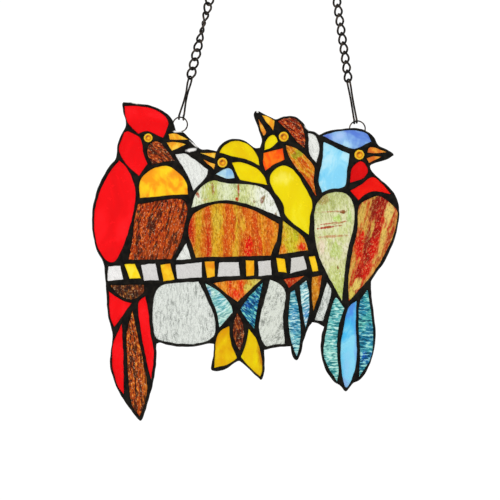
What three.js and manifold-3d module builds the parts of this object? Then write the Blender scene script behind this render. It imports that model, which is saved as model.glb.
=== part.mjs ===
// Stained glass window hanging: four songbirds on a perch, soldered panes, two chains.
// Millimetres, +Z up, front towards -Y. Outlines are drawn in the panel's own plane as x,z.
import * as THREE from 'three';
import { mergeVertices } from 'three/addons/utils/BufferGeometryUtils.js';
import Module from 'manifold-3d';

const wasm = await Module();
wasm.setup();

// Panel
const GLASS_THICKNESS = 3;
const SOLDER_THICKNESS = 5;
const FIT_GAP = 0.25;
const REST_GAP = 0.3;
const CURVE_STEP = 1.2;
const CURVE_TOLERANCE = 0.36;
const SHARPEST_CORNER = 0.15;
const BRIDGE_THICKNESS = 2;
const BRIDGE_WIDTH = 3;
const PERCH_BRIDGE_WIDTH = 5;

// Eye jewels
const JEWEL_SIDES = 12;
const JEWEL_DOME = 1.6;
const JEWEL_SHOULDER_RADIUS = 0.75;
const JEWEL_SHOULDER_HEIGHT = 0.65;

// Rings soldered behind the rim
const RING_WIRE = 1;
const RING_SIDES = 6;
const RING_STEPS = 11;
const RING_Y = SOLDER_THICKNESS / 2 + REST_GAP + RING_WIRE / 2;

// Hooks bent from one wire
const HOOK_WIRE = 1.2;
const HOOK_SIDES = 6;
const HOOK_BEND_ANGLES = [0, 45, 90, 135, 180].map(THREE.MathUtils.degToRad);
const HOOK_CLEARANCE = 0.35;
const HOOK_BEND = RING_WIRE / 2 + HOOK_CLEARANCE + HOOK_WIRE / 2;
const HOOK_TOP_SPREAD = 1.9;
const HOOK_FOOT_SPREAD = 1.8;
const HOOK_TIP = 2.2;
const HOOK_SHANK_SHARES = [0.15, 0.5, 0.85];
const HANG_Y = RING_Y - HOOK_BEND;

// Curb chain, link sizes along the middle of the wire
const LINK_WIRE = 1.25;
const LINK_LENGTH = 8.4;
const LINK_WIDTH = 6.2;
const LINK_TWIST = Math.PI / 4;
const LINK_BITE = 0.45;
const LINK_PITCH = LINK_LENGTH - LINK_WIRE + LINK_BITE;
const LINK_STEPS = 8;
const LINK_SIDES = 5;
const LINK_COUNT = 9;
const LINK_REST = HOOK_TOP_SPREAD - HOOK_WIRE / 2 - LINK_WIRE / 2 - REST_GAP;
const END_RING_RADIUS = 5.3;
const END_RING_WIRE = 1.4;
const END_RING_STEPS = 12;

// Glass and metal colours, roughness and metalness
const RED = [0xe3141a, 0.25, 0];
const BROWN = [0x8a3c12, 0.35, 0];
const AMBER = [0xf5ae12, 0.25, 0];
const YELLOW = [0xf0db12, 0.25, 0];
const ORANGE = [0xe8862c, 0.25, 0];
const FLAME = [0xfa5214, 0.25, 0];
const STREAKY = [0xd88a2a, 0.35, 0];
const RUDDY = [0xcf4c22, 0.35, 0];
const MOSS = [0xd5e0b4, 0.35, 0];
const SKY = [0x9edcf2, 0.25, 0];
const VIOLET = [0x5f86d6, 0.25, 0];
const TEAL = [0x5fb3b8, 0.35, 0];
const CLEAR = [0xe4e8e4, 0.3, 0];
const JEWEL = [0xf2c230, 0.15, 0];
const SOLDER = [0x2b2a28, 0.45, 0.8];
const GUNMETAL = [0x4a443e, 0.35, 0.9];

// Outlines: a corner is written x,z and a point that a smooth curve runs through is ~x,z

const RIM = `
  ~-98.6,125.8 ~-95.2,127 ~-84,126 ~-73.9,123.5 ~-64.6,119.2 ~-59.2,113.9 ~-56.8,108 -55.6,104.2
  -50.2,103.1 ~-44.4,97.6 -35.6,89.7 ~-29,89.1 -23.4,87.8 ~-20.4,92.6 ~-14.6,96.6 ~-8,97.6
  ~-0.4,96.2 ~4.6,92.8 8.2,90.2 11.4,90.6 ~13,96.4 ~10.2,105.6 ~7,115 ~6.6,118 ~8.4,120.2 ~12.4,119
  ~18.5,116 24.4,113.4 ~30,115.4 ~39.6,115.4 ~45.4,111.2 50.2,104.8 ~54.6,103.5 58.9,100.9 ~66,104
  ~78,105.7 ~89,106.1 ~97,103.8 ~103,98.6 106.2,92.9 ~113,89.4 ~118.6,85 ~113,81.3 ~104,78.6
  ~99.7,75.8 ~102.6,70.2 ~111,62.8 ~118.4,55 ~122.3,45.4 ~122.7,34 ~119.6,18.3 ~112,1 ~103,-12
  ~100.3,-19.8 ~102.2,-38 ~104.1,-56 ~102.4,-72.5 ~97.6,-86.6 ~91.4,-95 86.4,-97.4 ~82.4,-102.8
  ~79.6,-104.1 75.4,-99.8 ~69,-95 ~63.2,-85 ~60.2,-71 ~60.9,-60 62.6,-52.6 ~58.2,-50.2 53.4,-48.9
  ~50.2,-53.8 ~46.6,-64 ~44.2,-74 ~41.2,-79.4 ~37.6,-76.4 35.8,-68.2 ~25,-69.1 15,-71.2 ~15,-80
  ~15,-89.6 ~12.2,-95.1 ~7,-90.2 ~-1.4,-82.6 ~-5.6,-80 ~-10.6,-83.2 ~-18.6,-87.6 ~-26,-87.8
  ~-27.6,-85.4 ~-26,-76 -25.1,-66.4 ~-30,-66 ~-38,-68 ~-50,-68.8 ~-61.8,-67.4 ~-68.4,-65.4
  -71.3,-66.4 ~-71.3,-78 ~-73.4,-95 ~-77.4,-110 ~-81,-122.8 ~-84.2,-127.6 ~-90,-121.3 ~-99.4,-107.9
  ~-105.4,-95 ~-108.5,-80.3 -106.3,-58.8 ~-109.6,-46 ~-111.2,-26 ~-112.4,-10 ~-114,-0.6
  ~-119.2,9.3 ~-122.4,24 ~-122.2,42 ~-117.6,59.6 ~-109.6,74.8 -103.6,82.6 ~-102.8,91.4
  ~-99.6,100.5 -95.8,108.4 ~-97.4,116`;

// Single panes by node name: glass and outline
const PANES = {
  cardinal_crest: [RED, `-96.8,123.6 ~-88,123.9 ~-76,122 ~-66.5,117.6 ~-61.9,111.5 ~-63.2,104.8 -66,98.4
    ~-71.3,101.2 ~-77.8,103.8 ~-82.6,102.9 -85.6,101.9 ~-91,106.6 ~-95.2,112.6`],
  cardinal_cheek: [RED, `-97,102.4 -94,103.4 ~-85.6,99.7 ~-82.9,94.5 ~-81.9,87.3 -78.6,77.6 -85.2,67.9
    ~-95.7,78.1 ~-100.9,88.6 ~-99.4,96`],
  cardinal_throat: [BROWN, `~-76.6,93 ~-69.8,95.4 ~-63.5,89 -56.8,80.2 ~-65.5,79.3 -74.4,77 ~-78.3,86`],
  cardinal_collar: [AMBER, `-84.4,50.2 ~-84.6,62.5 ~-80.3,69.6 ~-72,74.4 ~-62,75.8 ~-54,71 ~-47.3,62.5
    -45.8,53.3 ~-62,52.4`],
  cardinal_wing: [RED, `-101,80.6 ~-94,73 ~-88.3,58.5 ~-89.2,41.5 ~-95,19.6 ~-102.4,2.2 ~-107.6,-1.2
    ~-113.2,3 ~-119.2,14.5 ~-121,33 ~-117.6,52 ~-110,68.4`],
  cardinal_belly: [BROWN, `-85.9,45.2 ~-71.7,47.7 ~-58,49.7 ~-50,48.6 ~-46.6,42 ~-49.2,26 ~-53.6,11.5
    -59.4,1.6 -93.5,1 ~-90.3,17 ~-88.9,32`],
  cardinal_vent: [BROWN, `-108.4,-19.4 -81.4,-19 ~-81.8,-25.5 -90.5,-30.7 ~-100,-28`],
  cardinal_tail_upper_left: [RED, `-109.2,-24.4 ~-99.5,-30.9 -91,-33.6 ~-98,-43.2 -104.8,-52.4
    ~-108.2,-44`],
  cardinal_tail_right: [RED, `-80.3,-28.2 ~-78,-38 ~-76.2,-55 ~-73.4,-72 ~-74.2,-85.5 -75.7,-94.8
    ~-79.6,-77.5 ~-83.6,-56 ~-84.7,-42 -85.2,-32.8`],
  cardinal_tail_lower_left: [RED, `-98.9,-50.2 ~-98.6,-60 ~-97.6,-80 -97.3,-106.4 ~-102.5,-98.6
    ~-106.6,-82 ~-105.2,-65`],
  cardinal_tail_centre: [BROWN, `-90.2,-39.7 ~-87.6,-54 ~-83,-77 ~-78.6,-100 ~-80.4,-112.6 -84.6,-124
    ~-91,-114.3 ~-93,-97 ~-94,-80 ~-95,-59`],
  clear_between_heads: [CLEAR, `-56.3,85.2 ~-48,85.6 ~-40,80 -29.7,72.8 ~-31.5,67.2 ~-36.5,61.6
    -41.8,56.4 ~-45.2,66.4`],
  clear_triangle: [CLEAR, `-47.4,14.3 -43.4,1.7 -55.6,0.6 ~-51,8.6`],
  finch_crown: [YELLOW, `-20.9,86.8 ~-16.6,92.6 ~-9.4,95.8 ~-0.6,94.6 ~6.4,89 ~10.2,82.4 11,76.4
    ~1.5,81 ~-9,83.2`],
  finch_nape: [YELLOW, `-10.9,78.7 ~-2,78.6 ~8.5,74 ~14.2,68.4 17.5,60.8 ~5,62.9 -4.6,64.9`],
  finch_throat: [SKY, `-23.6,69.3 ~-19,72.2 ~-14.4,74.4 ~-10.9,72.6 -8.8,66.5 ~-15,65.9`],
  finch_bib: [MOSS, `-43.2,42.6 ~-40,53.4 ~-33,60.8 ~-26,64.4 ~-16,62.3 ~-2,61.4 ~10,60 ~18,55.6
    ~23.2,47.4 27.7,35.4 ~14.5,40.6 ~-1,46.1 ~-17,48.6 ~-32,46.2`],
  finch_breast: [STREAKY, `~-43.4,34.4 ~-38,39.9 ~-28,44.6 ~-17,45.9 ~-4,43.8 ~9,39.3 26.7,29.4
    ~25.2,17.6 19.9,4.4 -39.7,2.8 ~-43.4,15.5 ~-45.7,23.4`],
  finch_vent: [STREAKY, `-25.6,-17.5 ~-8,-15.4 12.6,-14.5 ~3,-23.6 -6.4,-32.5 ~-16,-25.6`],
  finch_covert_left: [TEAL, `-32.2,-18.2 ~-25.4,-21.6 ~-16.5,-29 ~-11.6,-35.6 -10.4,-41.2 -20.7,-53
    ~-22.7,-42 ~-27,-31.5`],
  finch_covert_right: [TEAL, `13.8,-17.2 ~11.4,-28.5 ~8.6,-42.5 7,-54 ~1.5,-47.2 -4.1,-38.6
    ~-1,-33.4 ~6.5,-24.6`],
  finch_tail_centre: [BROWN, `-6.9,-41.3 ~-2.2,-50 ~-1.4,-61 -4.7,-71.8 ~-9.2,-61.8 ~-9.6,-51.5`],
  finch_tail_left: [YELLOW, `-13.2,-52 ~-12.4,-61 ~-10.6,-69 -6.8,-77.3 ~-13.2,-82.3 -25.2,-85.5
    ~-23.4,-70 -21.6,-58`],
  finch_tail_right: [YELLOW, `2.6,-54.1 ~8.5,-62.6 ~12.4,-75 ~13.3,-87 11.7,-92.4 ~3,-84.4 -3.7,-76.8
    ~0.4,-66`],
  sparrow_crown: [BROWN, `25.8,111.5 ~31,113.8 ~39,113.8 ~44.4,109.2 ~47.4,99 47.2,90.4 ~41.2,95.4
    ~34.4,103.9`],
  sparrow_throat: [YELLOW, `15,88.7 ~16.2,96.2 ~20.6,100.4 ~23.8,99.7 25.8,95.2 ~21,90.8`],
  sparrow_collar: [FLAME, `14.5,86.1 ~21,87.9 29.6,90 31.2,81 ~23.5,77.6 15.8,72.1 ~14,79.5`],
  sparrow_body: [YELLOW, `~30.5,76.5 ~38.6,72.2 ~45.4,62.6 53.2,46.4 ~51.4,34 50.4,20.9 ~41.6,28.2
    32.7,35.8 ~29.4,46.6 ~22.4,56.6 ~19.4,65.5 ~22.4,72.1`],
  sparrow_wing: [STREAKY, `32.4,92.9 ~41.4,89.4 ~48.4,83.2 54.7,75.4 ~54.5,65 56.5,51.4 ~49.4,63.3
    ~39.2,76.5 ~34,85.4`],
  sparrow_belly: [STREAKY, `29.8,32.3 ~38.6,25.4 ~46.4,18.6 50.2,8.8 ~38,6.8 26.9,5.5 ~29.2,19`],
  sparrow_flank: [STREAKY, `53.1,-12.8 60.9,-11.5 ~58.6,-26.5 54.1,-40 ~53,-27`],
  sparrow_vent: [RUDDY, `30.4,-14.6 46.9,-11.9 ~40,-17.6 34.8,-21.4`],
  clear_behind_sparrow: [CLEAR, `50.1,102.4 ~56,99.4 ~59,90 56.7,78.8 51.7,84.8`],
  bluebird_crown: [VIOLET, `61.6,100.2 ~72,103.2 ~86,104.4 ~96.4,102 100.4,95.4 ~92.4,91.6 ~85.8,89.9
    ~75,93.6`],
  bluebird_nape: [SKY, `62.3,95.3 ~71,90.8 83.2,85.4 ~81,71 ~80.2,62 ~77.2,58.6 ~68,57.5 61.2,54.7
    ~58.6,64.4 ~61.4,80.5`],
  bluebird_cheek: [RED, `83.6,62.6 ~85,73.4 ~91.4,79.6 ~96.4,76.4 ~97.8,71.4 ~94,66.4`],
  bluebird_breast: [RED, `~101.2,67 ~109,61.8 116.2,53.6 ~104,55.6 ~97,53.9 90.5,48.8 83.9,56.2
    ~92,60.8`],
  bluebird_wing: [MOSS, `~60.6,50.6 ~66.6,53.8 ~74,55 ~82,52.6 ~86.8,42.5 ~86.2,27 ~81.8,9.5 ~79.6,-9
    77,-31.8 ~66,-11.4 ~58,6 ~55.4,24 ~55.6,41.6`],
  bluebird_body: [RUDDY, `~90.3,42.4 ~96.8,48.8 ~106,51.8 ~113.2,48 120.9,40.6 ~120.2,26.8 ~113,8.8
    ~102.4,-9 ~92.2,-21.6 82.6,-32.2 ~82.3,-13 ~85.4,7.5 ~89.4,26`],
  clear_under_left: [CLEAR, `~-71,-23.5 ~-64.5,-18.7 ~-52,-17.3 -37.7,-16.6 ~-31,-29.8 ~-24.9,-45
    ~-24.5,-57.4 ~-28.4,-62.5 ~-38,-65.8 ~-50,-66.4 ~-63,-64.4 ~-72,-60.6 ~-74.2,-45 ~-73.4,-31.6`],
  clear_under_middle: [CLEAR, `19.7,-14.9 ~26.6,-18 ~32,-26 ~30,-44 31.4,-66.2 ~22,-67 ~15.6,-67.4
    ~10.8,-53.5 ~14,-35.4`],
  clear_under_right: [CLEAR, `65.2,-17.2 ~68.5,-24 ~65.6,-36.6 61.7,-48 55.6,-47.2 ~60.4,-33`],
};

// Panes of one kind that are carried as one piece: glass, width of the bridge under the bead
// between them, the bridge's two ends, and the outlines
const PANE_GROUPS = {
  cardinal_beak: [ORANGE, BRIDGE_WIDTH, '-55,99.6 -57,92.6', [
    `-61.6,101.4 ~-56,101.7 ~-51,100 -45.7,97.1 ~-53,97.3 -60.4,97`,
    `-63.1,94.6 ~-56,95 -47.7,93.4 ~-53.5,90.8 -58.8,87.9`,
  ]],
  finch_beak: [ORANGE, BRIDGE_WIDTH, '-27,84.6 -26.6,76.8', [
    `-36.2,86.2 -23.9,86.2 -24.5,82 ~-29.5,83.9`,
    `-34.1,81.1 -24.4,77.2 -25.4,73.5`,
  ]],
  sparrow_beak: [ORANGE, BRIDGE_WIDTH, '13.4,105.4 19.8,110.4', [
    `10.4,113.6 ~13.4,108.6 ~16.4,102.9 14.4,100 ~11.8,106.4`,
    `12.9,116.4 ~17,115.6 23.2,112 22,104.4`,
  ]],
  sparrow_tail: [TEAL, BRIDGE_WIDTH, '39,-40 48.2,-36', [
    `36.2,-25 39.3,-23.4 ~42.6,-40 ~44.1,-56 ~43,-69 41.3,-76.5 ~36.7,-64.5 ~34.4,-46`,
    `48.4,-15.6 ~50.4,-24 ~50.7,-41 48,-53.7 ~44.9,-35 43.7,-19.7`,
  ]],
  bluebird_beak: [ORANGE, BRIDGE_WIDTH, '102.4,88.4 100.8,81.6', [
    `97.6,86.5 ~100.4,91.1 112.6,87 ~105,86.3`,
    `96.8,82.1 ~102.4,84 108.5,83.4 98.8,78.4`,
  ]],
  bluebird_tail: [TEAL, BRIDGE_WIDTH, '68,-60 97,-60', [
    `72.4,-28.7 78.9,-37.4 ~75,-50 ~73.2,-68 ~74.2,-88 73.2,-96.2 ~65.2,-83 ~62.4,-70.5 ~66,-50.5
      69.8,-33.6`,
    `88.6,-31.8 ~88.2,-50 ~88.8,-77 ~85.2,-93.4 ~79.9,-101.1 ~76.9,-88 ~76.3,-67 ~80,-44.6 ~83,-36.6`,
    `97.6,-22.9 ~99.8,-39 ~102,-58.5 ~99.8,-78 90.9,-92.4 ~91.4,-73 ~90.5,-52 ~91.3,-33`,
  ]],
  perch_tiles: [CLEAR, PERCH_BRIDGE_WIDTH, '-104,-9.5 54.5,-2.4', [
    `-109.8,-4.3 -100.2,-3.9 -97.8,-14.6 -110.3,-15.8`,
    `-96.8,-2.6 -88.3,-2.2 -83.7,-13.9 -92.5,-13.9`,
    `-83.7,-3 -71.9,-1.9 -69.3,-15.2 -81.1,-15.8`,
    `-68,-3.2 -60.4,-2 -56.8,-14.6 -65.6,-16.1`,
    `-55.9,-3.2 -35,-1 -35,-13 -54.6,-14.3`,
    `-32.4,-0.6 -24.8,-0.3 -24.5,-12.2 -30.7,-13.4`,
    `-21.1,-1.3 -5.4,-0.8 -4.3,-11.7 -22.2,-12.4`,
    `0.2,0.6 6.9,0.3 6.9,-11.5 0.6,-12.2`,
    `10.2,-0.4 20,0.4 21.1,-10.9 10.4,-12`,
    `24.6,2.4 31.3,1.6 32.9,-9.3 26.3,-8.6`,
    `36.6,2.3 46.6,3.9 49.2,-6.3 35.9,-9.8`,
    `50.7,3.6 55.5,3.9 58.2,-7.6 53.6,-8.5`,
  ]],
};

// Eye jewels: centre and radius
const EYES = {
  cardinal_eye: [-77.7, 98.4, 3.3],
  finch_eye: [-18.4, 78.6, 3.8],
  sparrow_eye: [30.5, 99.3, 3.8],
  bluebird_eye: [91, 84.9, 3.8],
};

// Hanging hardware on each side. Ring: centre, radius of the wire's middle, first and last angle.
// Hook: where its two legs hang on the ring and the height of its fold. Chain: the lowest point of
// its bottom link, its slope dx/dz, and how far a link is turned about the chain.
const SIDES = {
  left: {
    ring: { x: -52.4, z: 109.5, radius: 5.8, from: -80, to: 172 },
    hook: { footX: -51.6 },
    chain: { x: -44.3, z: 146, slope: 0.244, turn: (i) => (Math.PI / 6) * Math.max(0, i - 2) },
  },
  right: {
    ring: { x: 89.7, z: 106, radius: 6.3, from: -14, to: 194 },
    hook: { footX: 88.2 },
    chain: { x: 82.6, z: 143.6, slope: -0.146, turn: () => 0 },
  },
};

// Outlines

function parsePoints(text) {
  return text.trim().split(/\s+/).map((word) => {
    const smooth = word.startsWith('~');
    const [x, z] = word.replace('~', '').split(',').map(Number);
    return { point: new THREE.Vector2(x, z), smooth };
  });
}

// Drops every point that lies within the tolerance of the line through the points that stay
function thin(points) {
  const first = points[0];
  const last = points[points.length - 1];
  const along = last.clone().sub(first).normalize();
  const closed = first.equals(last);
  const offsets = points.map((point) => {
    const reach = point.clone().sub(first);
    return closed ? reach.length() : Math.abs(along.cross(reach));
  });
  const worst = offsets.indexOf(Math.max(...offsets));
  if (offsets[worst] < CURVE_TOLERANCE) return [first, last];
  return [...thin(points.slice(0, worst + 1)).slice(0, -1), ...thin(points.slice(worst))];
}

// Corners are kept, and each stretch between two corners becomes a spline with few points
function outline(text) {
  const marks = parsePoints(text);
  const start = marks.findIndex((mark) => !mark.smooth);
  const ring = [...marks.slice(start), ...marks.slice(0, start + 1)];
  const points = [];
  let stretch = [ring[0].point];
  for (const mark of ring.slice(1)) {
    stretch.push(mark.point);
    if (mark.smooth) continue;
    const curve = new THREE.SplineCurve(stretch);
    const count = Math.max(2, Math.round(curve.getLength() / CURVE_STEP));
    points.push(...thin(curve.getSpacedPoints(count)).slice(0, -1));
    stretch = [mark.point];
  }
  return THREE.ShapeUtils.isClockWise(points) ? points.reverse() : points;
}

// Every edge of a counterclockwise outline moves inwards by the same distance
function inset(points, distance) {
  const count = points.length;
  return points.map((point, i) => {
    const before = point.clone().sub(points[(i + count - 1) % count]).normalize();
    const after = points[(i + 1) % count].clone().sub(point).normalize();
    const normal = new THREE.Vector2(-before.y - after.y, before.x + after.x).normalize();
    const stretch = Math.max(SHARPEST_CORNER, normal.y * before.x - normal.x * before.y);
    return point.clone().addScaledVector(normal, distance / stretch);
  });
}

function circle(x, z, radius, sides) {
  const angles = Array.from({ length: sides }, (_, i) => (2 * Math.PI * i) / sides);
  return angles.map((a) => new THREE.Vector2(x + radius * Math.cos(a), z + radius * Math.sin(a)));
}

// Solids

// A plate of the given thickness, drawn in x,z and centred on y = 0
function plate(points, thickness, holes = []) {
  const shape = new THREE.Shape(points);
  shape.holes = holes.map((hole) => new THREE.Path(hole));
  const geometry = new THREE.ExtrudeGeometry(shape, { depth: thickness, bevelEnabled: false });
  return geometry.rotateX(Math.PI / 2).translate(0, thickness / 2, 0);
}

// A straight bar from one panel point to another
function bar(from, to, width, thickness) {
  const along = to.clone().sub(from);
  const geometry = new THREE.BoxGeometry(along.length(), thickness, width);
  const middle = from.clone().add(to).multiplyScalar(0.5);
  return geometry.rotateY(-along.angle()).translate(middle.x, 0, middle.y);
}

// A smooth path through its points, with one tube section at each point
class WirePath extends THREE.CatmullRomCurve3 {
  getPointAt(u, target) {
    return this.getPoint(u, target);
  }

  getTangentAt(u, target) {
    return this.getTangent(u, target);
  }
}

function tube(points, wire, sides) {
  const section = new THREE.Shape(circle(0, 0, wire / 2, sides));
  const extrudePath = new WirePath(points);
  return new THREE.ExtrudeGeometry(section, { steps: points.length - 1, extrudePath, bevelEnabled: false });
}

function toSolid(geometry) {
  const bare = geometry.clone();
  bare.deleteAttribute('normal');
  bare.deleteAttribute('uv');
  const merged = mergeVertices(bare, 1e-4);
  return new wasm.Manifold(new wasm.Mesh({
    numProp: 3,
    vertProperties: Float32Array.from(merged.attributes.position.array),
    triVerts: Uint32Array.from(merged.index.array),
  }));
}

function toGeometry(solid) {
  const mesh = solid.getMesh();
  const geometry = new THREE.BufferGeometry();
  geometry.setAttribute('position', new THREE.BufferAttribute(mesh.vertProperties, 3));
  geometry.setIndex(new THREE.BufferAttribute(mesh.triVerts, 1));
  geometry.computeVertexNormals();
  return geometry;
}

function join(geometries) {
  const solids = geometries.map(toSolid);
  return solids.reduce((whole, solid) => whole.add(solid));
}

// Sub-parts

function jewel(x, z, radius) {
  const half = GLASS_THICKNESS / 2;
  const shoulder = [JEWEL_SHOULDER_RADIUS, half + JEWEL_SHOULDER_HEIGHT * JEWEL_DOME];
  const profile = [[0, -half], [1, -half], [1, half], shoulder, [0, half + JEWEL_DOME]];
  const points = profile.map(([share, y]) => new THREE.Vector2(share * (radius - FIT_GAP), y));
  return new THREE.LatheGeometry(points, JEWEL_SIDES).rotateX(Math.PI).translate(x, 0, z);
}

function bridgeEnds(text) {
  return parsePoints(text).map((mark) => mark.point);
}

function paneGroup(outlines, ends, width) {
  const panes = outlines.map((text) => plate(inset(outline(text), FIT_GAP), GLASS_THICKNESS));
  return toGeometry(join([...panes, bar(...bridgeEnds(ends), width, BRIDGE_THICKNESS)]));
}

// The solder fills everything inside the rim that is not glass, with a slot for each bridge
function solderNetwork() {
  const windows = [
    ...Object.values(PANES).map(([, text]) => outline(text)),
    ...Object.values(PANE_GROUPS).flatMap(([, , , outlines]) => outlines.map(outline)),
    ...Object.values(EYES).map(([x, z, radius]) => circle(x, z, radius, JEWEL_SIDES)),
  ];
  let solid = toSolid(plate(outline(RIM), SOLDER_THICKNESS, windows));
  for (const [, width, ends] of Object.values(PANE_GROUPS)) {
    const slot = bar(...bridgeEnds(ends), width + 2 * FIT_GAP, BRIDGE_THICKNESS + 2 * FIT_GAP);
    solid = solid.subtract(toSolid(slot));
  }
  return toGeometry(solid);
}

function rimRing({ x, z, radius, from, to }) {
  const points = Array.from({ length: RING_STEPS + 1 }, (_, i) => {
    const angle = THREE.MathUtils.degToRad(THREE.MathUtils.lerp(from, to, i / RING_STEPS));
    return new THREE.Vector3(x + radius * Math.cos(angle), RING_Y, z + radius * Math.sin(angle));
  });
  return tube(points, RING_WIRE, RING_SIDES);
}

// One leg of the hook from its tip behind the ring, under the ring and up to the fold
function hookLeg(side, ring, hook, chain) {
  const footX = hook.footX + side * HOOK_FOOT_SPREAD;
  const wireZ = ring.z + Math.sqrt(ring.radius ** 2 - (footX - ring.x) ** 2);
  const tip = new THREE.Vector3(footX, RING_Y + HOOK_BEND, wireZ + HOOK_TIP);
  const bend = HOOK_BEND_ANGLES.map((angle) => new THREE.Vector3(
    footX, RING_Y + HOOK_BEND * Math.cos(angle), wireZ - HOOK_BEND * Math.sin(angle)));
  const foot = bend[bend.length - 1];
  const top = foldPoint(chain, side > 0 ? 0 : Math.PI);
  const shank = HOOK_SHANK_SHARES.map((share) => foot.clone().lerp(top, share));
  return [tip, ...bend, ...shank];
}

// A point on the fold, which lies square to the wire of the link that hangs in it
function foldPoint(chain, angle) {
  const side = HOOK_TOP_SPREAD * Math.cos(angle);
  return new THREE.Vector3(
    chain.x + side * Math.cos(LINK_TWIST),
    HANG_Y + side * Math.sin(LINK_TWIST),
    chain.z + HOOK_TOP_SPREAD * Math.sin(angle),
  );
}

function wireHook({ ring, hook, chain }) {
  const fold = HOOK_BEND_ANGLES.map((angle) => foldPoint(chain, Math.PI - angle));
  const left = hookLeg(-1, ring, hook, chain);
  const right = hookLeg(1, ring, hook, chain).reverse();
  return tube([...left, ...fold, ...right], HOOK_WIRE, HOOK_SIDES);
}

// The middle of a curb link's wire: an oval whose two ends are turned opposite ways. Its sections sit
// at even angles, half a step off the ends, so the faceted wire is straight where links touch.
class LinkPath extends THREE.Curve {
  getPoint(t, target = new THREE.Vector3()) {
    const halfStep = Math.PI / LINK_STEPS;
    const angle = 2 * Math.PI * t + halfStep;
    const side = (LINK_WIDTH / 2) * Math.cos(angle);
    const turn = LINK_TWIST * Math.sin(angle);
    const along = ((LINK_LENGTH / 2) * Math.sin(angle)) / Math.cos(halfStep);
    return target.set(side * Math.cos(turn), side * Math.sin(turn), along);
  }

  getPointAt(u, target) {
    return this.getPoint(u, target);
  }

  getTangentAt(u, target) {
    return this.getTangent(u, target);
  }
}

// Distances along the chain from the fold of its hook
const FIRST_LINK = LINK_LENGTH / 2 + LINK_REST;
const LAST_LINK = FIRST_LINK + (LINK_COUNT - 1) * LINK_PITCH;
const LAST_WIRE = LAST_LINK + LINK_LENGTH / 2;
const END_RING = LAST_WIRE - (LINK_WIRE + END_RING_WIRE) / 2 + LINK_BITE + END_RING_RADIUS;

function chainPoint({ x, z, slope }, distance) {
  const lean = Math.atan(slope);
  return new THREE.Vector3(x + distance * Math.sin(lean), HANG_Y, z + distance * Math.cos(lean));
}

// Links that hang in one another and end in a round ring, all along one straight line
function chainOf(chain) {
  const place = (geometry, distance) => {
    const { x, y, z } = chainPoint(chain, distance);
    return geometry.rotateY(Math.atan(chain.slope)).translate(x, y, z);
  };
  const links = Array.from({ length: LINK_COUNT }, (_, i) => {
    const link = new THREE.TubeGeometry(new LinkPath(), LINK_STEPS, LINK_WIRE / 2, LINK_SIDES, true);
    return place(link.rotateZ(chain.turn(i)), FIRST_LINK + i * LINK_PITCH);
  });
  const ring = new THREE.TorusGeometry(END_RING_RADIUS, END_RING_WIRE / 2, RING_SIDES, END_RING_STEPS);
  return toGeometry(join([...links, place(ring.rotateX(Math.PI / 2), END_RING)]));
}

// Where something that holds the chain bears on the inside of its end ring
function bearingPoint(chain) {
  const point = chainPoint(chain, END_RING);
  point.z += END_RING_RADIUS - END_RING_WIRE / 2;
  return point;
}

// Assembly

function material([color, roughness, metalness]) {
  return new THREE.MeshStandardMaterial({ color, roughness, metalness });
}

const panel = new THREE.Group();

function addNode(name, geometry, finish) {
  const mesh = new THREE.Mesh(geometry, material(finish));
  mesh.name = name;
  panel.add(mesh);
}

for (const [name, [glass, text]] of Object.entries(PANES)) {
  addNode(name, plate(inset(outline(text), FIT_GAP), GLASS_THICKNESS), glass);
}
for (const [name, [glass, width, ends, outlines]] of Object.entries(PANE_GROUPS)) {
  addNode(name, paneGroup(outlines, ends, width), glass);
}
for (const [name, [x, z, radius]] of Object.entries(EYES)) {
  addNode(name, jewel(x, z, radius), JEWEL);
}
addNode('solder_network', solderNetwork(), SOLDER);
for (const [side, hardware] of Object.entries(SIDES)) {
  addNode(`ring_${side}`, rimRing(hardware.ring), SOLDER);
  addNode(`hook_${side}`, wireHook(hardware), GUNMETAL);
  addNode(`chain_${side}`, chainOf(hardware.chain), GUNMETAL);
}

// The origin is midway between the two places where the chains are held
const hangingPoint = bearingPoint(SIDES.left.chain).lerp(bearingPoint(SIDES.right.chain), 0.5);
panel.position.copy(hangingPoint).negate();

const part = new THREE.Group();
part.add(panel);

export default part;
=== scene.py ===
"""Stained glass window hanging: four songbirds on a perch, as soldered panes on two chains."""

import math

import bmesh
import bpy
import numpy as np
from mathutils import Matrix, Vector, kdtree, noise
from mathutils.geometry import delaunay_2d_cdt


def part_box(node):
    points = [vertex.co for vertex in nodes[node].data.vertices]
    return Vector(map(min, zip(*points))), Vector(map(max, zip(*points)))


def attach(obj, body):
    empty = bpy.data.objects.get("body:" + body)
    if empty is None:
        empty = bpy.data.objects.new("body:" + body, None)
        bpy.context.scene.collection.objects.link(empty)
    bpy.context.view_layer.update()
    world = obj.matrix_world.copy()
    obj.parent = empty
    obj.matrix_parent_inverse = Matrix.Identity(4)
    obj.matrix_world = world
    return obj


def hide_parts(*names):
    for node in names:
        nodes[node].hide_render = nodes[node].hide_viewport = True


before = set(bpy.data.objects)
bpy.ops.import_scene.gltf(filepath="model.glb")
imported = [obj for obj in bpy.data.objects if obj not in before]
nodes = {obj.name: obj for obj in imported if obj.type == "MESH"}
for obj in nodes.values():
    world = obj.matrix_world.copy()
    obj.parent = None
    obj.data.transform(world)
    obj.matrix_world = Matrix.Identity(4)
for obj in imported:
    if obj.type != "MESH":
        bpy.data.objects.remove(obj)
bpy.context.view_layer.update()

# Panel millimetres: x to the right, z up, y away from the viewer. The network's middle fixes the zero.
MM = 0.001
NETWORK_MIDDLE = Vector((0.097, 0.0, -0.276))
network_low, network_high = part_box("solder_network")
ZERO = (network_low + network_high) / 2 - NETWORK_MIDDLE * MM

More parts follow.
